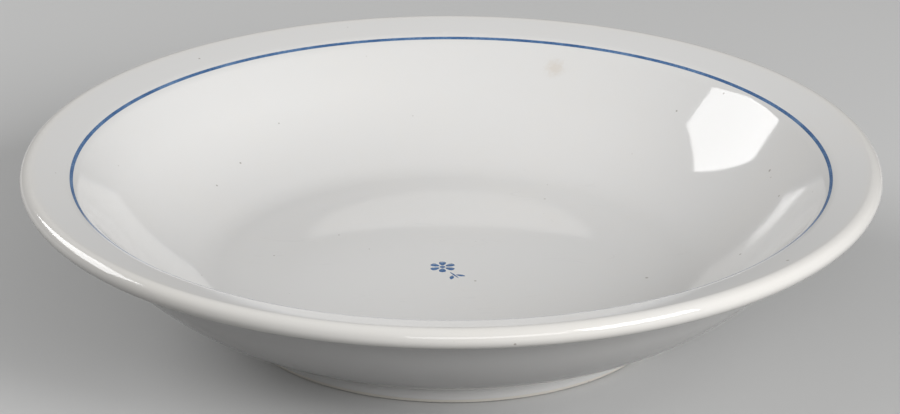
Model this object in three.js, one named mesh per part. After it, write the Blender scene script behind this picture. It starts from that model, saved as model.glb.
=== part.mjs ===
// A china soup bowl: a deep plate with a narrow sloping rim, a rolled lip and a foot ring, glazed white,
// with a thin blue line round the edge of the well and a small blue flower printed in its middle.
// Millimetres, +Z up. The origin is the middle of the plane that the foot stands on.
import * as THREE from "three";

// The glazed bowl as a whole.
const RIM_DIAMETER = 230;
const BOWL_HEIGHT = 45.7;
const FLOOR_HEIGHT = 12.5; // the well's floor above the table
const FLOOR_CORNER_RADIUS = 43; // the curve from the floor into the belly

// The rolled lip. Angles are in degrees throughout.
const LIP_THICKNESS = 5.3;
const LIP_RETURN_ANGLE = 20; // the lip's underside rises by this towards the bowl
const LIP_RETURN_RADIUS = 1.5;

// The narrow rim, which rises outwards from the well to the lip.
const RIM_SLOPE = 14;
const RIM_THICKNESS = 4.4;
const RIM_ROOT_RADIUS = 5; // under the rim, where it leaves the wall
const WELL_DIAMETER = 202; // where the straight lines of the wall and the rim would meet
const SHOULDER_RADIUS = 8.6; // the turn from the wall onto the rim

// The wall and the low belly between it and the foot.
const WALL_SLOPE = 49;
const WALL_THICKNESS = 5.4;
const BELLY_SLOPE = 23.5;
const BELLY_THICKNESS = 6;
const BELLY_INSIDE_RADIUS = 58.5;
const BELLY_OUTSIDE_RADIUS = 72;

// The foot ring, which narrows downwards, and the recess inside it.
const FOOT_DIAMETER = 117;
const FOOT_WIDTH = 7;
const FOOT_HEIGHT = 4.8;
const FOOT_TAPER = 10;
const FOOT_EDGE_RADIUS = 0.5;
const FOOT_JOINT_RADIUS = 1.5;
const RECESS_HEIGHT = 7;
const RECESS_CORNER_RADIUS = 2.5;

// The coats: glaze on the fired body, printed colour on the glaze, and a hair's breadth between layers.
const GLAZE_THICKNESS = 0.3;
const GLAZE_STOP = 1.2; // the glaze is wiped off below this, so that the foot stands bare
const PRINT_THICKNESS = 0.06;
const LAYER_GAP = 0.03;

// The blue line round the well's edge, measured along the shoulder's curve.
const LINE_FROM_RIM = 1.9; // from the end of the curve, where the rim begins, back to the line
const LINE_WIDTH = 1;

// The flower in the well: its place, its blossom, and the stem with two leaves.
const FLOWER_X = -2.3;
const FLOWER_Y = 1.5;
const PETAL_COUNT = 6;
const PETAL_LENGTH = 2.6;
const FLOWER_EYE_DIAMETER = 1.5;
const PRINT_GAP = 0.25; // white left between printed marks
const STEM_LENGTH = 5;
const STEM_WIDTH = 0.55;
const STEM_ANGLE = -60;
const LEAF_LENGTH = 2.8;
const LEAF_WIDTH = 1.2;
const LEAF_SPREAD = 38; // each leaf leans away from the stem by this

// How finely the round surfaces are cut: a flat facet lies this far inside the true curve at most.
const FACET_DEPTH = 0.19;
const MARK_SEGMENTS = 7;
const SAME_POINT = 1e-6;

const WHITE_BODY = { color: 0xf1ece2, roughness: 0.85, metalness: 0 };
const WHITE_GLAZE = { color: 0xe9e8e4, roughness: 0.12, metalness: 0 };
const BLUE_PRINT = { color: 0x3f659c, roughness: 0.2, metalness: 0 };

const RIGHT_ANGLE = 90;
const HALF_TURN = 180;
const radians = THREE.MathUtils.degToRad;

// A unit vector in the plane of the section, where x is the radius and y the height.
const heading = (degrees) => new THREE.Vector2(Math.cos(radians(degrees)), Math.sin(radians(degrees)));

// A straight edge of the section through a point. Walking along it, the china is on the right, so the side
// facing the air is on the left. It ends in a round corner of the given radius.
function edge(start, angle, cornerRadius = 0) {
  return { start, angle, cornerRadius };
}

// The direction that an edge's surface faces.
const facing = (line) => heading(line.angle + RIGHT_ANGLE);

// A point beside another, by a distance along a direction.
const beside = (point, direction, distance) => point.clone().addScaledVector(direction, distance);

// An edge pushed into the china by a depth.
const pushedIn = (line, depth) => edge(beside(line.start, facing(line), -depth), line.angle, line.cornerRadius);

// The point where two edges, run on as long as need be, cross each other.
function crossing(first, second) {
  const way = heading(first.angle);
  const other = heading(second.angle);
  const between = second.start.clone().sub(first.start);
  return beside(first.start, way, between.cross(other) / way.cross(other));
}

const atHeight = (line, height) => crossing(line, edge(new THREE.Vector2(0, height), 0));
const atRadius = (line, radius) => crossing(line, edge(new THREE.Vector2(radius, 0), RIGHT_ANGLE));

// The turn from one edge to the next, between minus and plus half a turn.
function turnBetween(first, second) {
  const turn = THREE.MathUtils.euclideanModulo(second.angle - first.angle + HALF_TURN, 2 * HALF_TURN);
  return turn - HALF_TURN;
}

// The round corners along a run of edges, as arcs. An arc's bend is its radius, negative where the surface is
// hollow, and from and to are the directions that the surface faces. A corner that has too little straight
// edge beside it is made smaller, in step with the corner that it shares the edge with.
function roundedCorners(edges) {
  const corners = edges.slice(1).map((next, i) => crossing(edges[i], next));
  const turns = edges.slice(1).map((next, i) => turnBetween(edges[i], next));
  const reaches = turns.map((turn, i) => edges[i].cornerRadius * Math.abs(Math.tan(radians(turn) / 2)));
  const room = (i) => {
    if (i === 0 || i === corners.length) return 1;
    return corners[i].distanceTo(corners[i - 1]) / (reaches[i - 1] + reaches[i]);
  };
  return corners.map((corner, i) => {
    const share = Math.min(1, room(i), room(i + 1));
    const bend = -Math.sign(turns[i]) * share * edges[i].cornerRadius;
    const begin = beside(corner, heading(edges[i].angle), -share * reaches[i]);
    const from = edges[i].angle + RIGHT_ANGLE;
    return { centre: beside(begin, facing(edges[i]), -bend), bend, from, to: from + turns[i] };
  });
}

// How many flat facets stand for a turn, in degrees, of a round surface.
function facetCount(radius, turn) {
  const widest = 2 * Math.acos(Math.max(0, 1 - FACET_DEPTH / Math.abs(radius)));
  return Math.ceil(Math.abs(radians(turn)) / widest);
}

// The points along a run of arcs, with the whole surface pushed into the china by a depth.
function pointsAlong(arcs, depth) {
  return arcs.flatMap((arc) => {
    const steps = facetCount(arc.bend, arc.to - arc.from);
    return Array.from({ length: steps + 1 }, (unused, i) => {
      const angle = THREE.MathUtils.lerp(arc.from, arc.to, i / steps);
      return beside(arc.centre, heading(angle), arc.bend - depth);
    });
  });
}

// A solid turned about the Z axis from a section given as points.
function turned(points) {
  const distinct = points.filter((point, i) => i === 0 || point.distanceTo(points[i - 1]) > SAME_POINT);
  const segments = 4 * facetCount(RIM_DIAMETER / 2, RIGHT_ANGLE);
  return new THREE.LatheGeometry(distinct.reverse(), segments).rotateX(Math.PI / 2);
}

// The edges of the glazed bowl, in order from the well's floor over the lip and down to the foot.
const lipRadius = LIP_THICKNESS / 2;
const lipCentre = new THREE.Vector2(RIM_DIAMETER / 2 - lipRadius, BOWL_HEIGHT - lipRadius);
const onLip = (angle) => beside(lipCentre, heading(angle + RIGHT_ANGLE), lipRadius);
const lipReturnAngle = HALF_TURN - LIP_RETURN_ANGLE;

const footOutside = edge(new THREE.Vector2(FOOT_DIAMETER / 2, 0), -RIGHT_ANGLE - FOOT_TAPER);
const bellyOutside = edge(atHeight(footOutside, FOOT_HEIGHT), HALF_TURN + BELLY_SLOPE, FOOT_JOINT_RADIUS);
const bellyInside = edge(pushedIn(bellyOutside, BELLY_THICKNESS).start, BELLY_SLOPE, BELLY_INSIDE_RADIUS);
const floor = edge(new THREE.Vector2(0, FLOOR_HEIGHT), 0, FLOOR_CORNER_RADIUS);
const rimTop = edge(onLip(RIM_SLOPE), RIM_SLOPE, lipRadius);
const rimUnderside = edge(pushedIn(rimTop, RIM_THICKNESS).start, HALF_TURN + RIM_SLOPE, RIM_ROOT_RADIUS);
const wallInside = edge(atRadius(rimTop, WELL_DIAMETER / 2), WALL_SLOPE, SHOULDER_RADIUS);
const wallOutside = edge(pushedIn(wallInside, WALL_THICKNESS).start, HALF_TURN + WALL_SLOPE, BELLY_OUTSIDE_RADIUS);
const lipTop = edge(onLip(0), 0, lipRadius);
const lipSide = edge(onLip(-RIGHT_ANGLE), -RIGHT_ANGLE, lipRadius);
const lipReturn = edge(onLip(lipReturnAngle), lipReturnAngle, LIP_RETURN_RADIUS);

const insideEdges = [floor, bellyInside, wallInside, rimTop];
const outsideEdges = [lipTop, lipSide, lipReturn, rimUnderside, wallOutside, bellyOutside, footOutside];
const bowlArcs = roundedCorners([...insideEdges, ...outsideEdges]);

// The edges of the recess inside the foot.
const footInsideStart = new THREE.Vector2(FOOT_DIAMETER / 2 - FOOT_WIDTH, 0);
const footInside = edge(footInsideStart, RIGHT_ANGLE + FOOT_TAPER, RECESS_CORNER_RADIUS);
const recessTop = edge(new THREE.Vector2(0, RECESS_HEIGHT), HALF_TURN);
const recessArcs = roundedCorners([footInside, recessTop]);

const onAxis = (height) => new THREE.Vector2(0, height);
const bodyDepth = GLAZE_THICKNESS + LAYER_GAP;

// The fired dish without its foot: floor, belly, wall, rim and lip, with a flat seat for the foot.
function dishSection() {
  const upToTheFoot = bowlArcs.slice(0, -1);
  return [
    onAxis(FLOOR_HEIGHT - bodyDepth),
    ...pointsAlong(upToTheFoot, bodyDepth),
    atHeight(pushedIn(bellyOutside, bodyDepth), FOOT_HEIGHT),
    atHeight(pushedIn(footInside, bodyDepth), FOOT_HEIGHT),
    ...pointsAlong(recessArcs, bodyDepth),
    onAxis(RECESS_HEIGHT + bodyDepth),
  ];
}

// The foot ring, with a flat bare face to stand on and its two lower edges rounded.
function footSection() {
  const outside = { ...pushedIn(footOutside, bodyDepth), cornerRadius: FOOT_EDGE_RADIUS };
  const standing = edge(new THREE.Vector2(0, 0), HALF_TURN, FOOT_EDGE_RADIUS);
  const inside = pushedIn(footInside, bodyDepth);
  const firstPoint = atHeight(outside, FOOT_HEIGHT);
  const lowerEdges = roundedCorners([outside, standing, inside]);
  return [firstPoint, ...pointsAlong(lowerEdges, 0), atHeight(inside, FOOT_HEIGHT), firstPoint.clone()];
}

// The coat of glaze over the well, the lip and the outside, down to the bare foot.
function mainGlazeSection() {
  const surface = (depth) => [
    onAxis(FLOOR_HEIGHT - depth),
    ...pointsAlong(bowlArcs, depth),
    atHeight(pushedIn(footOutside, depth), GLAZE_STOP),
  ];
  return [...surface(0), ...surface(GLAZE_THICKNESS).reverse()];
}

// The coat of glaze in the recess inside the foot.
function recessGlazeSection() {
  const surface = (depth) => [
    atHeight(pushedIn(footInside, depth), GLAZE_STOP),
    ...pointsAlong(recessArcs, depth),
    onAxis(RECESS_HEIGHT + depth),
  ];
  return [...surface(GLAZE_THICKNESS).reverse(), ...surface(0)];
}

// The line printed round the well's edge, lying on the curve of the shoulder.
function lineSection() {
  const shoulder = bowlArcs[insideEdges.indexOf(wallInside)];
  const turnedBack = (length) => shoulder.to + THREE.MathUtils.radToDeg(length / shoulder.bend);
  const arc = { ...shoulder, from: turnedBack(LINE_FROM_RIM + LINE_WIDTH), to: turnedBack(LINE_FROM_RIM) };
  const printed = pointsAlong([arc], -LAYER_GAP - PRINT_THICKNESS);
  return [...printed, ...pointsAlong([arc], -LAYER_GAP).reverse(), printed[0].clone()];
}

// A flat mark printed on the well's floor. Its shape is drawn about the flower's middle.
function printedMark(shape) {
  const settings = { depth: PRINT_THICKNESS, bevelEnabled: false, curveSegments: MARK_SEGMENTS };
  const lift = FLOOR_HEIGHT + LAYER_GAP;
  return new THREE.ExtrudeGeometry(shape, settings).translate(FLOWER_X, FLOWER_Y, lift);
}

const eyeRadius = FLOWER_EYE_DIAMETER / 2;
const petalStart = eyeRadius + PRINT_GAP;
const blossomRadius = petalStart + PETAL_LENGTH;

// One petal, pointed at the eye and round at its far end. Its neighbours set how wide it can be.
function petalShape(angle) {
  const along = heading(angle);
  const across = heading(angle + RIGHT_ANGLE);
  const slot = radians(HALF_TURN / PETAL_COUNT);
  const place = (radius, side) => along.clone().multiplyScalar(radius).addScaledVector(across, side);
  const start = place(petalStart, 0);
  const nearHandle = petalStart * Math.tan(slot);
  const farHandle = blossomRadius * Math.tan(slot) - PRINT_GAP;
  const end = place(blossomRadius, 0);
  const handles = [place(petalStart, nearHandle), place(blossomRadius, farHandle)];
  const mirrored = [place(blossomRadius, -farHandle), place(petalStart, -nearHandle)];
  const shape = new THREE.Shape();
  shape.moveTo(start.x, start.y);
  shape.bezierCurveTo(mirrored[1].x, mirrored[1].y, mirrored[0].x, mirrored[0].y, end.x, end.y);
  shape.bezierCurveTo(handles[1].x, handles[1].y, handles[0].x, handles[0].y, start.x, start.y);
  return shape;
}

function eyeShape() {
  return new THREE.Shape().absarc(0, 0, eyeRadius, 0, radians(2 * HALF_TURN));
}

// A pointed mark with bowed sides: a leaf, or the stem where it is long and thin.
function bladeShape(root, angle, length, width) {
  const along = heading(angle);
  const across = heading(angle + RIGHT_ANGLE);
  const tip = beside(root, along, length);
  const middle = beside(root, along, length / 2);
  const right = beside(middle, across, -width);
  const left = beside(middle, across, width);
  const shape = new THREE.Shape();
  shape.moveTo(root.x, root.y);
  shape.quadraticCurveTo(right.x, right.y, tip.x, tip.y);
  shape.quadraticCurveTo(left.x, left.y, root.x, root.y);
  return shape;
}

const stemRoot = heading(STEM_ANGLE).multiplyScalar(blossomRadius + PRINT_GAP);
const leafRoot = (side) => {
  const joint = beside(stemRoot, heading(STEM_ANGLE), STEM_LENGTH / 2);
  return beside(joint, heading(STEM_ANGLE + side * RIGHT_ANGLE), STEM_WIDTH / 2 + PRINT_GAP);
};

const bowl = new THREE.Group();

function addPiece(name, geometry, finish) {
  const piece = new THREE.Mesh(geometry, new THREE.MeshStandardMaterial(finish));
  piece.name = name;
  bowl.add(piece);
}

addPiece("china_body", turned(dishSection()), WHITE_BODY);
addPiece("foot_ring", turned(footSection()), WHITE_BODY);
addPiece("main_glaze", turned(mainGlazeSection()), WHITE_GLAZE);
addPiece("recess_glaze", turned(recessGlazeSection()), WHITE_GLAZE);
addPiece("blue_line", turned(lineSection()), BLUE_PRINT);
addPiece("flower_eye", printedMark(eyeShape()), BLUE_PRINT);
for (let i = 0; i < PETAL_COUNT; i++) {
  const angle = ((i + 1 / 2) * 2 * HALF_TURN) / PETAL_COUNT;
  addPiece(`petal_${i + 1}`, printedMark(petalShape(angle)), BLUE_PRINT);
}
addPiece("flower_stem", printedMark(bladeShape(stemRoot, STEM_ANGLE, STEM_LENGTH, STEM_WIDTH)), BLUE_PRINT);
[-1, 1].forEach((side, i) => {
  const leaf = bladeShape(leafRoot(side), STEM_ANGLE + side * LEAF_SPREAD, LEAF_LENGTH, LEAF_WIDTH);
  addPiece(`leaf_${i + 1}`, printedMark(leaf), BLUE_PRINT);
});

export default bowl;
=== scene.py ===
"""A white china soup bowl: turned china, two coats of glaze, a blue line and a small printed flower."""

import logging
import math
from dataclasses import dataclass, field
from enum import Enum
from functools import cached_property
from typing import ClassVar

import bmesh
import bpy
from mathutils import Matrix, Vector
from mathutils.geometry import interpolate_bezier


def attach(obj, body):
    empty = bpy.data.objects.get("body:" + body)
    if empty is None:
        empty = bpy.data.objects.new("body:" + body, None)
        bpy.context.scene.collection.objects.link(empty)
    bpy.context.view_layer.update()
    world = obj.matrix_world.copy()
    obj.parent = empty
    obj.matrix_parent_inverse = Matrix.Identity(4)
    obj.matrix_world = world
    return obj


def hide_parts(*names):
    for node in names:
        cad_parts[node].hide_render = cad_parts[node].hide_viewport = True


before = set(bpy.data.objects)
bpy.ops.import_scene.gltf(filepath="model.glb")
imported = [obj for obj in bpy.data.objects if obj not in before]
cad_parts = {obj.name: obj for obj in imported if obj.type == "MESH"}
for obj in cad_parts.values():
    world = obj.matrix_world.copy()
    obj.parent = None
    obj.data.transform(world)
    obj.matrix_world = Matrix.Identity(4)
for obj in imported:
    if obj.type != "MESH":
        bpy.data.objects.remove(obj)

MM = 0.001
log = logging.getLogger("soup_bowl")

Colour = tuple[float, float, float]
Point = tuple[float, float, float]
Socket = bpy.types.NodeSocket


class Slot(Enum):
    """The record's material slots."""

    FIRED_CHINA = "fired_china"
    WHITE_GLAZE = "white_glaze"
    BLUE_PRINT = "blue_print"


def heading(degrees: float) -> Vector:
    """Gives the unit vector at an angle in the section's plane, where x is the radius and y the height."""
    return Vector((math.cos(math.radians(degrees)), math.sin(math.radians(degrees))))


@dataclass(frozen=True)
class Edge:
    """A straight edge of the section. Walking along it, the china is on the right and the air on the left."""

    start: Vector
    angle: float
    corner: float = 0.0

    @property
    def facing(self) -> Vector:
        """The direction that the edge's surface faces."""
        return heading(self.angle + 90)

    def pushed_in(self, depth: float) -> "Edge":
        """Gives the same edge, deeper in the china."""
        return Edge(self.start - self.facing * depth, self.angle, self.corner)

    def with_corner(self, radius: float) -> "Edge":
        """Gives the same edge, ending in another round corner."""
        return Edge(self.start, self.angle, radius)

    def crossing(self, other: "Edge") -> Vector:
        """Finds where two edges, run on as long as need be, cross each other.

        Args:
            other: The second edge.

        Returns:
            The point that both share.
        """
        way, way_other = heading(self.angle), heading(other.angle)
        between = other.start - self.start
        return self.start + way * (between.cross(way_other) / way.cross(way_other))

    def at_height(self, height: float) -> Vector:
        """Gives the point of the edge at a height."""
        return self.crossing(Edge(Vector((0, height)), 0))

    def at_radius(self, radius: float) -> Vector:
        """Gives the point of the edge at a radius."""
        return self.crossing(Edge(Vector((radius, 0)), 90))


@dataclass(frozen=True)
class Arc:
    """A round corner of the section. Its bend is its radius, negative where the surface is hollow."""

    centre: Vector
    bend: float
    start: float
    stop: float

    coarsest_turn: ClassVar[float] = 4.0
    chord_depth: ClassVar[float] = 0.002 * MM

    def points(self, depth: float) -> list[Vector]:
        """Walks along the corner, in turns that are small enough to look round.

        Args:
            depth: How far the surface is pushed into the china.

        Returns:
            The points from the corner's start to its end.
        """
        flat_turn = math.degrees(2 * math.acos(1 - self.chord_depth / abs(self.bend)))
        steps = math.ceil(abs(self.stop - self.start) / min(flat_turn, self.coarsest_turn))
        turn = (self.stop - self.start) / steps
        reach = self.bend - depth
        return [self.centre + heading(self.start + turn * i) * reach for i in range(steps + 1)]


def round_corners(edges: list[Edge]) -> list[Arc]:
    """Rounds the corners along a run of edges.

    Args:
        edges: The edges in order; each ends in a corner of its own radius.

    Returns:
        One arc for each corner.
    """
    arcs = []
    for first, second in zip(edges, edges[1:]):
        turn = (second.angle - first.angle + 180) % 360 - 180
        bend = -math.copysign(first.corner, turn)
        reach = first.corner * abs(math.tan(math.radians(turn) / 2))
        begin = first.crossing(second) - heading(first.angle) * reach
        face = first.angle + 90
        arcs.append(Arc(begin - first.facing * bend, bend, face, face + turn))
    return arcs


@dataclass(frozen=True)
class BowlSection:
    """The bowl's turned section: its solid's sizes, with a floor that rises a little before the belly."""

    rim_diameter: float = 230 * MM
    bowl_height: float = 45.7 * MM
    floor_height: float = 12.5 * MM
    floor_corner_radius: float = 121 * MM
    skirt_diameter: float = 103 * MM
    skirt_slope: float = 7.0
    skirt_corner_radius: float = 28.5 * MM
    lip_thickness: float = 5.3 * MM
    lip_return_angle: float = 20.0
    lip_return_radius: float = 1.5 * MM
    rim_slope: float = 14.0
    rim_thickness: float = 4.4 * MM
    rim_root_radius: float = 5 * MM
    well_diameter: float = 202 * MM
    shoulder_radius: float = 8.6 * MM
    wall_slope: float = 49.0
    wall_thickness: float = 5.4 * MM
    belly_slope: float = 23.5
    belly_thickness: float = 6 * MM
    belly_inside_radius: float = 58.5 * MM
    belly_outside_radius: float = 72 * MM
    foot_diameter: float = 117 * MM
    foot_width: float = 7 * MM
    foot_height: float = 4.8 * MM
    foot_taper: float = 10.0
    foot_edge_radius: float = 0.5 * MM
    foot_joint_radius: float = 1.5 * MM
    recess_height: float = 7 * MM
    recess_corner_radius: float = 2.5 * MM
    glaze_thickness: float = 0.3 * MM
    glaze_stop: float = 1.2 * MM
    print_thickness: float = 0.012 * MM
    print_lift: float = 0.006 * MM
    layer_gap: float = 0.03 * MM
    line_from_rim: float = 1.9 * MM
    line_width: float = 1 * MM

    @property
    def body_depth(self) -> float:
        """How deep the fired china lies under the glazed surface."""
        return self.glaze_thickness + self.layer_gap

    def on_lip(self, angle: float) -> Vector:
        """Gives the point of the round lip where its surface runs at an angle."""
        radius = self.lip_thickness / 2
        centre = Vector((self.rim_diameter / 2 - radius, self.bowl_height - radius))
        return centre + heading(angle + 90) * radius

    @cached_property
    def foot_outside(self) -> Edge:
        """The foot's outer face."""
        return Edge(Vector((self.foot_diameter / 2, 0)), -90 - self.foot_taper)

    @cached_property
    def belly_outside(self) -> Edge:
        """The low slope from the wall to the foot, outside."""
        start = self.foot_outside.at_height(self.foot_height)
        return Edge(start, 180 + self.belly_slope, self.foot_joint_radius)

    @cached_property
    def rim_top(self) -> Edge:
        """The sloping top of the rim."""
        return Edge(self.on_lip(self.rim_slope), self.rim_slope, self.lip_thickness / 2)

    @cached_property
    def wall_inside(self) -> Edge:
        """The well's wall."""
        start = self.rim_top.at_radius(self.well_diameter / 2)
        return Edge(start, self.wall_slope, self.shoulder_radius)

    @cached_property
    def foot_inside(self) -> Edge:
        """The foot's inner face."""
        start = Vector((self.foot_diameter / 2 - self.foot_width, 0))
        return Edge(start, 90 + self.foot_taper, self.recess_corner_radius)

    @cached_property
    def inside_edges(self) -> list[Edge]:
        """The edges from the well's floor to the rim."""
        belly_start = self.belly_outside.pushed_in(self.belly_thickness).start
        floor = Edge(Vector((0, self.floor_height)), 0, self.floor_corner_radius)
        skirt_start = floor.at_radius(self.skirt_diameter / 2)
        skirt = Edge(skirt_start, self.skirt_slope, self.skirt_corner_radius)
        belly = Edge(belly_start, self.belly_slope, self.belly_inside_radius)
        return [floor, skirt, belly, self.wall_inside, self.rim_top]

    @cached_property
    def outside_edges(self) -> list[Edge]:
        """The edges from the lip's top down to the foot."""
        lip_radius = self.lip_thickness / 2
        back = 180 - self.lip_return_angle
        underside = self.rim_top.pushed_in(self.rim_thickness).start
        wall = self.wall_inside.pushed_in(self.wall_thickness).start
        return [
            Edge(self.on_lip(0), 0, lip_radius),
            Edge(self.on_lip(-90), -90, lip_radius),
            Edge(self.on_lip(back), back, self.lip_return_radius),
            Edge(underside, 180 + self.rim_slope, self.rim_root_radius),
            Edge(wall, 180 + self.wall_slope, self.belly_outside_radius),
            self.belly_outside,
            self.foot_outside,
        ]

    @cached_property
    def bowl_arcs(self) -> list[Arc]:
        """The round corners from the well's floor over the lip and down to the foot."""
        return round_corners([*self.inside_edges, *self.outside_edges])

    @cached_property
    def recess_arcs(self) -> list[Arc]:
        """The round corner of the recess inside the foot."""
        return round_corners([self.foot_inside, Edge(Vector((0, self.recess_height)), 180)])

    def outer_surface(self, depth: float) -> list[Vector]:
        """Walks from the well's middle over the lip to where the glaze stops.

        Args:
            depth: How far the surface is pushed into the china.

        Returns:
            The points of the surface.
        """
        along = [point for arc in self.bowl_arcs for point in arc.points(depth)]
        stop = self.foot_outside.pushed_in(depth).at_height(self.glaze_stop)
        return [Vector((0, self.floor_height - depth)), *along, stop]

    def recess_surface(self, depth: float) -> list[Vector]:
        """Walks from where the glaze stops inside the foot to the recess's middle.

        Args:
            depth: How far the surface is pushed into the china.

        Returns:
            The points of the surface.
        """
        along = [point for arc in self.recess_arcs for point in arc.points(depth)]
        start = self.foot_inside.pushed_in(depth).at_height(self.glaze_stop)
        return [start, *along, Vector((0, self.recess_height + depth))]

    def dish(self) -> list[Vector]:
        """Gives the fired dish: floor, belly, wall, rim and lip, with a flat seat for the foot."""
        depth = self.body_depth
        down_to_foot = [point for arc in self.bowl_arcs[:-1] for point in arc.points(depth)]
        seat_outside = self.belly_outside.pushed_in(depth).at_height(self.foot_height)
        seat_inside = self.foot_inside.pushed_in(depth).at_height(self.foot_height)
        middle = Vector((0, self.floor_height - depth))
        return [middle, *down_to_foot, seat_outside, seat_inside, *self.recess_surface(depth)[1:]]

    def foot(self) -> list[Vector]:
        """Gives the foot ring, with its two lower edges rounded."""
        depth = self.body_depth
        outside = self.foot_outside.pushed_in(depth).with_corner(self.foot_edge_radius)
        standing = Edge(Vector((0, 0)), 180, self.foot_edge_radius)
        inside = self.foot_inside.pushed_in(depth)
        lower = [point for arc in round_corners([outside, standing, inside]) for point in arc.points(0)]
        return [outside.at_height(self.foot_height), *lower, inside.at_height(self.foot_height)]

    def line(self) -> list[Vector]:
        """Gives the painted line, lying on the curve of the shoulder."""
        shoulder = self.bowl_arcs[self.inside_edges.index(self.wall_inside)]
        turn = math.degrees(1 / shoulder.bend)
        stop = shoulder.stop + self.line_from_rim * turn
        arc = Arc(shoulder.centre, shoulder.bend, stop + self.line_width * turn, stop)
        lifted = -self.print_lift
        return [*arc.points(lifted - self.print_thickness), *reversed(arc.points(lifted))]


@dataclass(frozen=True)
class SoftStep:
    """A soft step: where a mask is nothing, where it is full, and how strong it is there."""

    begin: float
    end: float
    strength: float = 1.0


class Wiring:
    """Adds nodes to a node tree and joins them."""

    def __init__(self, tree: bpy.types.NodeTree) -> None:
        """Takes the tree to work on and empties it."""
        self.tree = tree
        tree.nodes.clear()

    def add(self, kind: str, inputs: dict | None = None, **settings: object) -> bpy.types.Node:
        """Adds a node.

        Args:
            kind: The node's type.
            inputs: What each of its inputs takes, by name or number: a value, or an output of another node.
            settings: The node's own settings.

        Returns:
            The node.
        """
        node = self.tree.nodes.new(kind)
        for name, value in settings.items():
            setattr(node, name, value)
        for socket, value in (inputs or {}).items():
            if isinstance(value, Socket):
                self.tree.links.new(value, node.inputs[socket])
            else:
                node.inputs[socket].default_value = value
        return node

    def math(self, operation: str, *values: object) -> Socket:
        """Adds a sum of numbers and gives its result."""
        return self.add("ShaderNodeMath", dict(enumerate(values)), operation=operation).outputs[0]

    def length(self, vector: Socket) -> Socket:
        """Gives the length of a vector."""
        return self.add("ShaderNodeVectorMath", {0: vector}, operation="LENGTH").outputs["Value"]

    def fade(self, value: Socket, step: SoftStep) -> Socket:
        """Turns a value into a soft mask.

        Args:
            value: The value to read.
            step: Where the mask begins and ends, and its strength.

        Returns:
            The mask.
        """
        reach = {"From Min": step.begin, "From Max": step.end, "To Min": 0.0, "To Max": step.strength}
        node = self.add("ShaderNodeMapRange", {"Value": value, **reach}, interpolation_type="SMOOTHSTEP")
        return node.outputs["Result"]

    def tint(self, mask: Socket, under: object, over: object) -> Socket:
        """Lays one colour over another.

        Args:
            mask: Where the upper colour shows.
            under: The lower colour, or the output that gives it.
            over: The upper colour, or the output that gives it.

        Returns:
            The mixed colour.
        """
        node = self.add("ShaderNodeMix", {"Factor": mask}, data_type="RGBA")
        for name, value in (("A", under), ("B", over)):
            target = next(s for s in node.inputs if s.name == name and s.type == "RGBA")
            if isinstance(value, Socket):
                self.tree.links.new(value, target)
            else:
                target.default_value = (*value, 1.0)
        return next(s for s in node.outputs if s.type == "RGBA")

    def noise(self, vector: Socket, scale: object, detail: float) -> Socket:
        """Adds a soft noise and gives its value."""
        inputs = {"Vector": vector, "Scale": scale, "Detail": detail}
        return self.add("ShaderNodeTexNoise", inputs).outputs["Fac"]

    def group(self, tree: bpy.types.NodeTree, inputs: dict) -> bpy.types.Node:
        """Places a node group with its own values."""
        return self.add("ShaderNodeGroup", inputs, node_tree=tree)

    def bump(self, height: Socket, depth: float, strength: float = 1.0) -> Socket:
        """Gives the direction that a surface faces where a pattern raises it."""
        inputs = {"Height": height, "Strength": strength, "Distance": depth}
        return self.add("ShaderNodeBump", inputs).outputs["Normal"]

    def shade(self, inputs: dict) -> None:
        """Ends a material with its shader, whose inputs take what is given."""
        shader = self.add("ShaderNodeBsdfPrincipled", inputs)
        self.add("ShaderNodeOutputMaterial", {"Surface": shader.outputs["BSDF"]})


def start_material(name: str) -> tuple[bpy.types.Material, Wiring, Socket]:
    """Starts a material.

    Args:
        name: The material's name.

    Returns:
        The material, its wiring, and the place on the surface that its patterns read.
    """
    material = bpy.data.materials.new(name)
    material.use_nodes = True
    wiring = Wiring(material.node_tree)
    return material, wiring, wiring.add("ShaderNodeTexCoord").outputs["Object"]


@dataclass(frozen=True)
class Specks:
    """Scattered specks: cells in a metre, a speck's size, the share of cells with one, and the strength."""

    cells: float
    size: float
    share: float
    strength: float


@dataclass(frozen=True)
class Mottle:
    """An uneven tone: its broad and its fine clouds in a metre, and the share of the fine ones."""

    broad: float
    fine: float
    fine_share: float


@dataclass(frozen=True)
class Ripple:
    """A ripple: its waves and its dimples in a metre, the share of the dimples, and the depth."""

    waves: float = 45.0
    dimples: float = 420.0
    dimple_share: float = 0.04
    depth: float = 0.03 * MM


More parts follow.
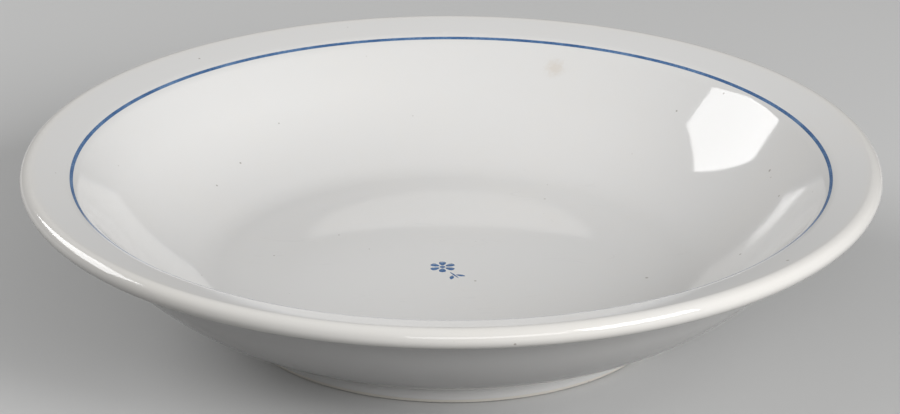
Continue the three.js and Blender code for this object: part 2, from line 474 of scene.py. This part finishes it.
class EffectGroups:
    """The surface effects that more than one finish uses, each a node group."""

    least_speck: ClassVar[float] = 0.4
    speck_edge: ClassVar[SoftStep] = SoftStep(0.0, 0.5)

    def __init__(self) -> None:
        """Builds the groups once."""
        self.speck_group = self.make_specks()
        self.mottle_group = self.make_mottle()
        self.ripple_group = self.make_ripple()

    @staticmethod
    def start(name: str, inputs: tuple[str, ...], output: str) -> tuple[Wiring, bpy.types.Node]:
        """Begins a group that reads a place on the surface.

        Args:
            name: The group's name.
            inputs: The names of its number inputs.
            output: The name of what it gives out.

        Returns:
            The wiring of the group and its input node.
        """
        tree = bpy.data.node_groups.new(name, "ShaderNodeTree")
        tree.interface.new_socket("Place", in_out="INPUT", socket_type="NodeSocketVector")
        for label in inputs:
            tree.interface.new_socket(label, in_out="INPUT", socket_type="NodeSocketFloat")
        tree.interface.new_socket(output, in_out="OUTPUT", socket_type="NodeSocketFloat")
        wiring = Wiring(tree)
        return wiring, wiring.add("NodeGroupInput")

    def make_specks(self) -> bpy.types.NodeTree:
        """Makes the small dark specks that the kiln leaves in china."""
        wiring, given = self.start("kiln_specks", ("Cells", "Size", "Share"), "Mask")
        inputs = {"Vector": given.outputs["Place"], "Scale": given.outputs["Cells"]}
        cells = wiring.add("ShaderNodeTexVoronoi", inputs)
        chance = wiring.add("ShaderNodeSeparateColor", {"Color": cells.outputs["Color"]})
        chosen = wiring.math("LESS_THAN", chance.outputs["Red"], given.outputs["Share"])
        growth = wiring.math("ADD", chance.outputs["Green"], self.least_speck)
        size = wiring.math("MULTIPLY", given.outputs["Size"], growth)
        near = wiring.math("SUBTRACT", 1.0, wiring.math("DIVIDE", cells.outputs["Distance"], size))
        soft = wiring.fade(near, self.speck_edge)
        wiring.add("NodeGroupOutput", {"Mask": wiring.math("MULTIPLY", soft, chosen)})
        return wiring.tree

    def make_mottle(self) -> bpy.types.NodeTree:
        """Makes the soft uneven tone of a fired surface."""
        wiring, given = self.start("fired_mottle", ("Broad", "Fine", "Fine Share"), "Tone")
        place = given.outputs["Place"]
        broad = wiring.noise(place, given.outputs["Broad"], detail=4.0)
        fine = wiring.noise(place, given.outputs["Fine"], detail=2.0)
        inputs = {"Factor": given.outputs["Fine Share"], "A": broad, "B": fine}
        mixed = wiring.add("ShaderNodeMix", inputs, data_type="FLOAT").outputs[0]
        wiring.add("NodeGroupOutput", {"Tone": mixed})
        return wiring.tree

    def make_ripple(self) -> bpy.types.NodeTree:
        """Makes the slight ripple of a glaze that has run and set."""
        wiring, given = self.start("glaze_ripple", ("Waves", "Dimples", "Dimple Share"), "Height")
        place = given.outputs["Place"]
        waves = wiring.noise(place, given.outputs["Waves"], detail=1.0)
        dimples = wiring.noise(place, given.outputs["Dimples"], detail=1.0)
        small = wiring.math("MULTIPLY", dimples, given.outputs["Dimple Share"])
        wiring.add("NodeGroupOutput", {"Height": wiring.math("ADD", waves, small)})
        return wiring.tree

    def specks(self, wiring: Wiring, place: Socket, pattern: Specks) -> Socket:
        """Scatters specks over a surface.

        Args:
            wiring: The material's wiring.
            place: The place on the surface.
            pattern: How the specks lie.

        Returns:
            A mask of the specks.
        """
        inputs = {"Place": place, "Cells": pattern.cells, "Size": pattern.size, "Share": pattern.share}
        mask = wiring.group(self.speck_group, inputs).outputs["Mask"]
        return wiring.math("MULTIPLY", mask, pattern.strength)

    def mottle(self, wiring: Wiring, place: Socket, pattern: Mottle) -> Socket:
        """Clouds a surface.

        Args:
            wiring: The material's wiring.
            place: The place on the surface.
            pattern: How broad and how fine the clouds are.

        Returns:
            The uneven tone.
        """
        inputs = {"Broad": pattern.broad, "Fine": pattern.fine, "Fine Share": pattern.fine_share}
        return wiring.group(self.mottle_group, {"Place": place, **inputs}).outputs["Tone"]

    def ripple(self, wiring: Wiring, place: Socket, pattern: Ripple) -> Socket:
        """Ripples a surface.

        Args:
            wiring: The material's wiring.
            place: The place on the surface.
            pattern: How the ripple runs and how deep it is.

        Returns:
            The direction that the rippled surface faces.
        """
        waves = {"Place": place, "Waves": pattern.waves}
        dimples = {"Dimples": pattern.dimples, "Dimple Share": pattern.dimple_share}
        height = wiring.group(self.ripple_group, {**waves, **dimples}).outputs["Height"]
        return wiring.bump(height, pattern.depth)


@dataclass(frozen=True)
class Finish:
    """What every finish has: a name, its record slot, its colour and its roughness."""

    name: str
    slot: Slot
    base: Colour
    roughness: float


@dataclass(frozen=True)
class GlassyFinish(Finish):
    """A finish under a layer of glass, which has run a little."""

    run: Ripple = Ripple()
    refraction: float = 1.52


@dataclass(frozen=True)
class WhiteGlaze(GlassyFinish):
    """Clear glossy glaze on white china, thinner and creamier on the lip, with specks and marks of use."""

    cream: Colour = (0.79, 0.755, 0.695)
    creamy_lip: SoftStep = SoftStep(109.5 * MM, 113.5 * MM, strength=0.4)
    clouds: Mottle = Mottle(broad=22.0, fine=260.0, fine_share=0.3)
    creamy_clouds: SoftStep = SoftStep(0.42, 0.72, strength=0.16)
    worn_clouds: SoftStep = SoftStep(0.35, 0.75, strength=0.05)
    speck: Colour = (0.20, 0.16, 0.12)
    specks: Specks = Specks(cells=160.0, size=0.065, share=0.5, strength=0.55)
    stain: Colour = (0.52, 0.38, 0.22)
    stain_place: Point = (30.3 * MM, 91.2 * MM, 37.1 * MM)
    stain_edge: SoftStep = SoftStep(5.76 * MM, 2.16 * MM, strength=0.22)
    stain_wander: float = 3.6 * MM
    stain_grain: float = 900.0
    metal_mark: Colour = (0.42, 0.42, 0.42)
    mark_runs: tuple[tuple[float, float], ...] = ((0.4, 3.0), (1.5, 11.0), (2.6, 19.0))
    mark_stretch: Point = (28.0, 150.0, 28.0)
    mark_width: SoftStep = SoftStep(0.006, 0.0)
    mark_breaks: SoftStep = SoftStep(0.56, 0.66)
    break_grain: float = 60.0
    marked_well: SoftStep = SoftStep(80 * MM, 56 * MM, strength=0.10)

    def material(self, groups: EffectGroups) -> bpy.types.Material:
        """Builds the glaze.

        Args:
            groups: The shared surface effects.

        Returns:
            The material.
        """
        material, wiring, place = start_material(self.name)
        across = wiring.add("ShaderNodeSeparateXYZ", {"Vector": place})
        flat = wiring.add("ShaderNodeCombineXYZ", {"X": across.outputs["X"], "Y": across.outputs["Y"]})
        radius = wiring.length(flat.outputs["Vector"])
        tone = groups.mottle(wiring, place, self.clouds)

        lip = wiring.fade(radius, self.creamy_lip)
        warmth = wiring.math("ADD", lip, wiring.fade(tone, self.creamy_clouds))
        colour = wiring.tint(warmth, self.base, self.cream)
        colour = wiring.tint(groups.specks(wiring, place, self.specks), colour, self.speck)
        colour = wiring.tint(self.stain_mask(wiring, place), colour, self.stain)
        marks = self.spoon_marks(wiring, place, radius)
        colour = wiring.tint(marks, colour, self.metal_mark)

        worn = wiring.fade(tone, self.worn_clouds)
        rough = wiring.math("ADD", wiring.math("ADD", worn, self.roughness), marks)
        normal = groups.ripple(wiring, place, self.run)
        wiring.shade({"Base Color": colour, "Roughness": rough, "Normal": normal, "IOR": self.refraction})
        return material

    def stain_mask(self, wiring: Wiring, place: Socket) -> Socket:
        """Draws the ragged stain on the well's wall.

        Args:
            wiring: The material's wiring.
            place: The place on the surface.

        Returns:
            A mask of the stain.
        """
        away = wiring.add("ShaderNodeVectorMath", {0: place, 1: self.stain_place}, operation="DISTANCE")
        grain = wiring.noise(place, self.stain_grain, detail=3.0)
        ragged = wiring.math("MULTIPLY", grain, self.stain_wander)
        return wiring.fade(wiring.math("ADD", away.outputs["Value"], ragged), self.stain_edge)

    def spoon_marks(self, wiring: Wiring, place: Socket, radius: Socket) -> Socket:
        """Draws the faint grey lines that spoons leave in the well, in runs that each have a turn and a seed.

        Args:
            wiring: The material's wiring.
            place: The place on the surface.
            radius: The distance from the bowl's axis.

        Returns:
            A mask of the lines.
        """
        total = None
        for turn, seed in self.mark_runs:
            lie = {"Rotation": (0.0, 0.0, turn), "Location": (seed, seed, seed), "Scale": self.mark_stretch}
            turned = wiring.add("ShaderNodeMapping", {"Vector": place, **lie})
            wander = wiring.noise(turned.outputs["Vector"], 1.0, detail=1.0)
            # A line runs where the noise passes through its middle value.
            off = wiring.math("ABSOLUTE", wiring.math("SUBTRACT", wander, 0.5))
            thin = wiring.fade(off, self.mark_width)
            patches = wiring.noise(place, self.break_grain + seed, detail=2.0)
            mask = wiring.math("MULTIPLY", thin, wiring.fade(patches, self.mark_breaks))
            total = mask if total is None else wiring.math("MAXIMUM", total, mask)
        return wiring.math("MULTIPLY", total, wiring.fade(radius, self.marked_well))


@dataclass(frozen=True)
class BareChina(Finish):
    """Fired china without glaze: matt, finely grained, and grey where it has rubbed on tables."""

    rubbed: Colour = (0.44, 0.41, 0.375)
    rubbed_height: SoftStep = SoftStep(0.6 * MM, 0.0)
    rubbed_grain: SoftStep = SoftStep(0.38, 0.62, strength=0.75)
    rubbed_polish: float = 0.2
    grain: Mottle = Mottle(broad=90.0, fine=1600.0, fine_share=0.45)
    grain_depth: float = 0.08 * MM
    grain_strength: float = 0.5
    specks: Specks = Specks(cells=420.0, size=0.12, share=0.12, strength=0.7)

    def material(self, groups: EffectGroups) -> bpy.types.Material:
        """Builds the bare china.

        Args:
            groups: The shared surface effects.

        Returns:
            The material.
        """
        material, wiring, place = start_material(self.name)
        height = wiring.add("ShaderNodeSeparateXYZ", {"Vector": place}).outputs["Z"]
        grain = groups.mottle(wiring, place, self.grain)
        low = wiring.fade(height, self.rubbed_height)
        dirt = wiring.math("MULTIPLY", low, wiring.fade(grain, self.rubbed_grain))
        colour = wiring.tint(dirt, self.base, self.rubbed)
        colour = wiring.tint(groups.specks(wiring, place, self.specks), colour, self.rubbed)
        polish = wiring.math("MULTIPLY", dirt, self.rubbed_polish)
        rough = wiring.math("SUBTRACT", self.roughness, polish)
        normal = wiring.bump(grain, self.grain_depth, self.grain_strength)
        wiring.shade({"Base Color": colour, "Roughness": rough, "Normal": normal})
        return material


@dataclass(frozen=True)
class BluePrint(GlassyFinish):
    """Blue ceramic colour under a shine: uneven in strength, and paler where it was laid on thinly."""

    thin: Colour = (0.20, 0.32, 0.50)
    deep: Colour = (0.025, 0.07, 0.19)
    grain: Mottle = Mottle(broad=120.0, fine=1900.0, fine_share=0.5)
    thin_grain: SoftStep = SoftStep(0.46, 0.64, strength=0.55)
    deep_grain: SoftStep = SoftStep(0.50, 0.34, strength=0.55)
    dull_grain: SoftStep = SoftStep(0.4, 0.7, strength=0.08)
    specks: Specks = Specks(cells=1500.0, size=0.3, share=0.2, strength=0.45)

    def material(self, groups: EffectGroups) -> bpy.types.Material:
        """Builds the printed colour.

        Args:
            groups: The shared surface effects.

        Returns:
            The material.
        """
        material, wiring, place = start_material(self.name)
        grain = groups.mottle(wiring, place, self.grain)
        colour = wiring.tint(wiring.fade(grain, self.thin_grain), self.base, self.thin)
        colour = wiring.tint(wiring.fade(grain, self.deep_grain), colour, self.deep)
        colour = wiring.tint(groups.specks(wiring, place, self.specks), colour, self.thin)
        rough = wiring.math("ADD", wiring.fade(grain, self.dull_grain), self.roughness)
        normal = groups.ripple(wiring, place, self.run)
        wiring.shade({"Base Color": colour, "Roughness": rough, "Normal": normal, "IOR": self.refraction})
        return material


@dataclass(frozen=True)
class Palette:
    """The bowl's three finishes, built once."""

    glaze: WhiteGlaze = WhiteGlaze("white_glaze", Slot.WHITE_GLAZE, (0.770, 0.764, 0.752), roughness=0.05)
    china: BareChina = BareChina("bare_china", Slot.FIRED_CHINA, (0.75, 0.715, 0.65), roughness=0.85)
    blue: BluePrint = BluePrint("blue_print", Slot.BLUE_PRINT, (0.065, 0.155, 0.335), roughness=0.08)

    @cached_property
    def materials(self) -> dict[Slot, bpy.types.Material]:
        """The finished materials by slot."""
        groups = EffectGroups()
        return {finish.slot: finish.material(groups) for finish in (self.glaze, self.china, self.blue)}


@dataclass
class Workshop:
    """Turns meshes into finished pieces of the bowl."""

    palette: Palette
    sharp_angle: float = math.radians(38)
    merge_reach: float = 0.0005 * MM
    sector_steps: int = 15
    doublings: int = 4

    def finish_piece(self, name: str, mesh: bmesh.types.BMesh, slot: Slot, node: str) -> None:
        """Makes a piece from a mesh, dresses it and puts it in its node's place.

        Args:
            name: The piece's name.
            mesh: Its mesh, which is used up.
            slot: The record slot of its finish.
            node: The node that it stands for.
        """
        for face in mesh.faces:
            face.smooth = True
        for edge in mesh.edges:
            edge.smooth = edge.calc_face_angle(0.0) < self.sharp_angle
        data = bpy.data.meshes.new(name)
        mesh.to_mesh(data)
        mesh.free()
        data.materials.append(self.palette.materials[slot])
        piece = bpy.data.objects.new(name, data)
        bpy.context.scene.collection.objects.link(piece)
        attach(piece, "root")
        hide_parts(node)
        log.info("%s: %d faces, stands for %s", name, len(data.polygons), node)

    def turned(self, section: list[Vector], closed: bool) -> bmesh.types.BMesh:
        """Spins a section about the bowl's axis: one sector, which is then doubled until it goes all round.

        Args:
            section: The points of the section, radius and height.
            closed: Whether the section is a ring of points; otherwise it begins and ends on the axis.

        Returns:
            The turned mesh.
        """
        mesh = bmesh.new()
        corners = [mesh.verts.new((point.x, 0.0, point.y)) for point in section]
        bmesh.ops.remove_doubles(mesh, verts=corners, dist=self.merge_reach)
        corners = list(mesh.verts)
        pairs = zip(corners, corners[1:] + (corners[:1] if closed else []))
        outline = [*corners, *[mesh.edges.new(pair) for pair in pairs]]
        sector, steps = math.tau / 2**self.doublings, self.sector_steps
        bmesh.ops.spin(mesh, geom=outline, cent=(0, 0, 0), axis=(0, 0, 1), angle=sector, steps=steps)
        for doubling in range(self.doublings):
            copied = bmesh.ops.duplicate(mesh, geom=[*mesh.verts, *mesh.edges, *mesh.faces])["geom"]
            moved = [item for item in copied if isinstance(item, bmesh.types.BMVert)]
            turn = Matrix.Rotation(sector * 2**doubling, 3, "Z")
            bmesh.ops.rotate(mesh, verts=moved, cent=(0, 0, 0), matrix=turn)
        bmesh.ops.remove_doubles(mesh, verts=mesh.verts, dist=self.merge_reach)
        bmesh.ops.recalc_face_normals(mesh, faces=mesh.faces)
        return mesh


@dataclass
class ChinaDish:
    """The fired china: the dish and its foot ring."""

    section: BowlSection
    workshop: Workshop

    def build(self) -> None:
        """Builds the dish and the foot."""
        dish = self.workshop.turned(self.section.dish(), closed=False)
        self.workshop.finish_piece("turned_dish", dish, Slot.FIRED_CHINA, "china_body")
        foot = self.workshop.turned(self.section.foot(), closed=True)
        self.workshop.finish_piece("standing_ring", foot, Slot.FIRED_CHINA, "foot_ring")


@dataclass
class GlazeCoats:
    """The two coats of glaze, parted by the foot's bare face."""

    section: BowlSection
    workshop: Workshop

    def build(self) -> None:
        """Builds both coats."""
        depth = self.section.glaze_thickness
        outer = [*self.section.outer_surface(0), *reversed(self.section.outer_surface(depth))]
        mesh = self.workshop.turned(outer, closed=False)
        self.workshop.finish_piece("bowl_coat", mesh, Slot.WHITE_GLAZE, "main_glaze")
        recess = [*reversed(self.section.recess_surface(depth)), *self.section.recess_surface(0)]
        mesh = self.workshop.turned(recess, closed=False)
        self.workshop.finish_piece("recess_coat", mesh, Slot.WHITE_GLAZE, "recess_glaze")


@dataclass
class PaintedLine:
    """The thin blue line round the edge of the well."""

    section: BowlSection
    workshop: Workshop

    def build(self) -> None:
        """Builds the line."""
        mesh = self.workshop.turned(self.section.line(), closed=True)
        self.workshop.finish_piece("painted_line", mesh, Slot.BLUE_PRINT, "blue_line")


@dataclass
class WellFlower:
    """The small flower printed in the well: an eye, petals, a stem and two leaves."""

    section: BowlSection
    workshop: Workshop
    centre: Vector = field(default_factory=lambda: Vector((-2.3, 1.5)) * MM)
    petal_count: int = 6
    petal_length: float = 2.6 * MM
    eye_diameter: float = 1.5 * MM
    print_gap: float = 0.25 * MM
    stem_length: float = 5 * MM
    stem_width: float = 0.55 * MM
    stem_angle: float = -60.0
    leaf_length: float = 2.8 * MM
    leaf_width: float = 1.2 * MM
    leaf_spread: float = 38.0
    curve_steps: int = 16
    merge_reach: float = 0.002 * MM
    soft_edge: float = 0.008 * MM

    @property
    def petal_start(self) -> float:
        """How far from the flower's middle a petal begins."""
        return self.eye_diameter / 2 + self.print_gap

    @property
    def blossom_radius(self) -> float:
        """How far from the flower's middle a petal ends."""
        return self.petal_start + self.petal_length

    def mark(self, name: str, outline: list[Vector], node: str) -> None:
        """Prints one mark on the well's floor.

        Args:
            name: The mark's name.
            outline: Its outline about the flower's middle.
            node: The node that it stands for.
        """
        mesh = bmesh.new()
        lift = self.section.floor_height + self.section.print_lift
        corners = [mesh.verts.new((*(point + self.centre), lift)) for point in outline]
        bmesh.ops.remove_doubles(mesh, verts=corners, dist=self.merge_reach)
        base = bmesh.ops.contextual_create(mesh, geom=list(mesh.verts))["faces"]
        raised = bmesh.ops.extrude_face_region(mesh, geom=base, use_keep_orig=True)["geom"]
        top = [item for item in raised if isinstance(item, bmesh.types.BMFace)]
        lifted = [item for item in raised if isinstance(item, bmesh.types.BMVert)]
        bmesh.ops.translate(mesh, verts=lifted, vec=(0, 0, self.section.print_thickness))
        rim = list({edge for face in top for edge in face.edges})
        bmesh.ops.bevel(
            mesh, geom=rim, offset=self.soft_edge, affect="EDGES", segments=2, profile=0.5, material=-1
        )
        bmesh.ops.recalc_face_normals(mesh, faces=mesh.faces)
        self.workshop.finish_piece(name, mesh, Slot.BLUE_PRINT, node)

    def curve(self, *handles: Vector) -> list[Vector]:
        """Gives the points of a curve with two handles, without its last point."""
        return [Vector(point) for point in interpolate_bezier(*handles, self.curve_steps)][:-1]

    def petal(self, angle: float) -> list[Vector]:
        """Draws one petal, pointed at the eye and round at its far end.

        Args:
            angle: The direction that the petal points in.

        Returns:
            Its outline.
        """
        along, across = heading(angle), heading(angle + 90)
        half_slot = math.tan(math.pi / self.petal_count)
        near = self.petal_start * half_slot
        far = self.blossom_radius * half_slot - self.print_gap
        start, end = along * self.petal_start, along * self.blossom_radius
        out = self.curve(start, start - across * near, end - across * far, end)
        back = self.curve(end, end + across * far, start + across * near, start)
        return [*out, *back]

    def blade(self, root: Vector, angle: float, length: float, width: float) -> list[Vector]:
        """Draws a pointed mark with bowed sides: a leaf, or the stem where it is long and thin.

        Args:
            root: Where it begins.
            angle: The direction that it points in.
            length: Its length.
            width: Its width.

        Returns:
            Its outline.
        """
        along, across = heading(angle) * length, heading(angle + 90) * width
        tip = root + along
        bow = [along / 2 + side * across for side in (-1, 1)]
        # Each side has one handle, at its bow. A curve with two has them two thirds of the way there.
        thirds = [(root + step * 2 / 3, tip + (root + step - tip) * 2 / 3) for step in bow]
        return [*self.curve(root, *thirds[0], tip), *self.curve(tip, *reversed(thirds[1]), root)]

    def build(self) -> None:
        """Prints all the marks."""
        eye_sides = 4 * self.curve_steps
        eye = [heading(360 / eye_sides * i) * (self.eye_diameter / 2) for i in range(eye_sides)]
        self.mark("printed_eye", eye, "flower_eye")
        for i in range(self.petal_count):
            petal = self.petal((i + 0.5) * 360 / self.petal_count)
            self.mark(f"printed_petal_{i + 1}", petal, f"petal_{i + 1}")
        root = heading(self.stem_angle) * (self.blossom_radius + self.print_gap)
        stem = self.blade(root, self.stem_angle, self.stem_length, self.stem_width)
        self.mark("printed_stem", stem, "flower_stem")
        joint = root + heading(self.stem_angle) * (self.stem_length / 2)
        for i, side in enumerate((-1, 1)):
            beside = heading(self.stem_angle + side * 90) * (self.stem_width / 2 + self.print_gap)
            lean = self.stem_angle + side * self.leaf_spread
            leaf = self.blade(joint + beside, lean, self.leaf_length, self.leaf_width)
            self.mark(f"printed_leaf_{i + 1}", leaf, f"leaf_{i + 1}")


@dataclass(frozen=True)
class SoftLamp:
    """A flat soft lamp: where it hangs, the point that it faces, its size and its power."""

    name: str
    place: Point
    facing: Point
    width: float
    height: float
    power: float

    def build(self) -> None:
        """Hangs the lamp."""
        data = bpy.data.lights.new(self.name, "AREA")
        data.shape = "RECTANGLE"
        data.size, data.size_y = self.width, self.height
        data.energy = self.power
        lamp = bpy.data.objects.new(self.name, data)
        away = Vector(self.place) - Vector(self.facing)
        lamp.matrix_world = Matrix.Translation(self.place) @ away.to_track_quat("Z", "Y").to_matrix().to_4x4()
        bpy.context.scene.collection.objects.link(lamp)


@dataclass
class Studio:
    """The plain pale floor, the soft lamps and the camera."""

    bowl_middle: ClassVar[Point] = (0.0, 0.0, 30 * MM)
    lamps: tuple[SoftLamp, ...] = (
        SoftLamp(
            "left_softbox",
            place=(-1.154, 0.495, 0.750),
            facing=(-0.159, -0.176, 0.750),
            width=0.924,
            height=0.700,
            power=12.2,
        ),
        SoftLamp("right_front_lamp", (0.95, -0.826, 0.644), bowl_middle, width=0.7, height=0.6, power=15.5),
        SoftLamp("front_fill", (0.214, -1.353, 0.64), bowl_middle, width=1.0, height=0.45, power=4.5),
    )
    world_grey: Colour = (0.22, 0.22, 0.22)
    floor_grey: Colour = (0.62, 0.62, 0.615)
    cloud_grey: Colour = (0.6386, 0.6386, 0.63345)
    floor_clouds: float = 3.0
    floor_bounce: Colour = (0.08, 0.08, 0.08)
    floor_roughness: float = 0.9
    floor_reach: float = 4.0
    floor_sides: int = 96
    floor_drop: float = 0.1 * MM
    # Painted shade on the floor: the grey that it darkens to far from the bowl, and where that darkening
    # begins and ends.
    far_painted_shade: Colour = (0.30, 0.30, 0.30)
    far_shade_reach: SoftStep = SoftStep(0.45, 1.1)
    camera_place: Point = (0.0, -0.896724, 0.400183)
    camera_pitch: float = 22.3923
    camera_yaw: float = 0.0193
    camera_roll: float = 0.1189
    camera_lens: float = 144.0
    camera_sensor: float = 36.0
    camera_clip: float = 10 * MM

    def build(self) -> None:
        """Builds the studio."""
        self.lay_floor()
        for lamp in self.lamps:
            lamp.build()
        self.light_room()
        self.place_camera()
        bpy.context.scene.view_settings.view_transform = "Standard"

    def lay_floor(self) -> None:
        """Lays the pale floor under the foot."""
        mesh = bmesh.new()
        bmesh.ops.create_circle(mesh, cap_ends=True, segments=self.floor_sides, radius=self.floor_reach)
        data = bpy.data.meshes.new("studio_floor")
        mesh.to_mesh(data)
        mesh.free()
        data.materials.append(self.floor_finish())
        floor = bpy.data.objects.new("studio_floor", data)
        floor.location.z = -self.floor_drop
        bpy.context.scene.collection.objects.link(floor)

    def floor_finish(self) -> bpy.types.Material:
        """Makes the floor's finish: pale to look at, with painted shade that darkens it further from the
        bowl, and darker in the light that it throws back at the bowl.

        Returns:
            The material.
        """
        material, wiring, place = start_material("pale_floor")
        tone = wiring.noise(place, self.floor_clouds, detail=2.0)
        pale = wiring.tint(tone, self.floor_grey, self.cloud_grey)
        # Painted shade: the floor's colour darkens further from the bowl, standing in for the light falling
        # off.
        pale = wiring.tint(wiring.fade(wiring.length(place), self.far_shade_reach), pale, self.far_painted_shade)
        path = wiring.add("ShaderNodeLightPath")
        seen = wiring.math("MAXIMUM", path.outputs["Is Camera Ray"], path.outputs["Is Glossy Ray"])
        seen = wiring.math("MAXIMUM", seen, path.outputs["Is Transmission Ray"])
        colour = wiring.tint(seen, self.floor_bounce, pale)
        wiring.shade({"Base Color": colour, "Roughness": self.floor_roughness})
        return material

    def light_room(self) -> None:
        """Gives the room its even grey light."""
        world = bpy.data.worlds.new("grey_room")
        world.use_nodes = True
        wiring = Wiring(world.node_tree)
        inputs = {"Color": (*self.world_grey, 1.0), "Strength": 1.0}
        background = wiring.add("ShaderNodeBackground", inputs)
        wiring.add("ShaderNodeOutputWorld", {"Surface": background.outputs["Background"]})
        bpy.context.scene.world = world

    def place_camera(self) -> None:
        """Puts the camera at the picture's viewing angle."""
        data = bpy.data.cameras.new("picture_camera")
        data.sensor_width = self.camera_sensor
        data.lens = self.camera_lens
        data.clip_start = self.camera_clip
        camera = bpy.data.objects.new("picture_camera", data)
        turn = Matrix.Rotation(math.radians(self.camera_yaw), 4, "Z")
        tilt = Matrix.Rotation(math.radians(90 - self.camera_pitch), 4, "X")
        roll = Matrix.Rotation(math.radians(self.camera_roll), 4, "Z")
        camera.matrix_world = Matrix.Translation(self.camera_place) @ turn @ tilt @ roll
        bpy.context.scene.collection.objects.link(camera)
        bpy.context.scene.camera = camera


def main() -> None:
    """Builds the bowl and its studio."""
    logging.basicConfig(level=logging.INFO, format="%(name)s: %(message)s")
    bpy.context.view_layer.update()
    section = BowlSection()
    workshop = Workshop(Palette())
    for part in (ChinaDish, GlazeCoats, PaintedLine, WellFlower):
        part(section, workshop).build()
    Studio().build()


if __name__ == "__main__":
    main()
